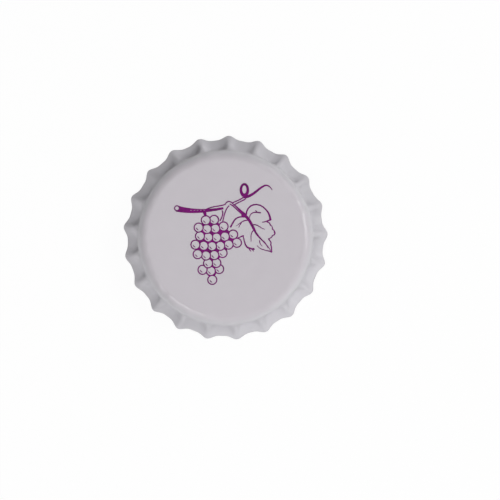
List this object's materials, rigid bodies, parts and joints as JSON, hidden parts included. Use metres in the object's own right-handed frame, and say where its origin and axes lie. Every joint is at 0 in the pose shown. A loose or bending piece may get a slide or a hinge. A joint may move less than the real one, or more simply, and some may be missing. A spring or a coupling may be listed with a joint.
{
  "type": "crown bottle cap",
  "caption": "Shallow round pressed-metal bottle cap with a flared, fluted skirt, a moulded sealing liner inside and a bunch of grapes printed on its flat top.",
  "frame": {"origin": "on the cap's axis, in the plane of the rim that the teeth stand on", "axes": "+Z along the cap's axis from the rim to the panel, +Y towards the top of the print, +X to its right"},
  "size_m": [0.032, 0.032, 0.006],
  "materials": {
    "lacquered_tinplate": "pale satin lacquer over tinplate",
    "liner_compound": "matt moulded compound",
    "print_ink": "purple litho ink under varnish"
  },
  "bodies": {
    "root": {"crown_shell": "lacquered_tinplate", "liner": "liner_compound", "grape_print": "print_ink"}
  },
  "joints": []
}
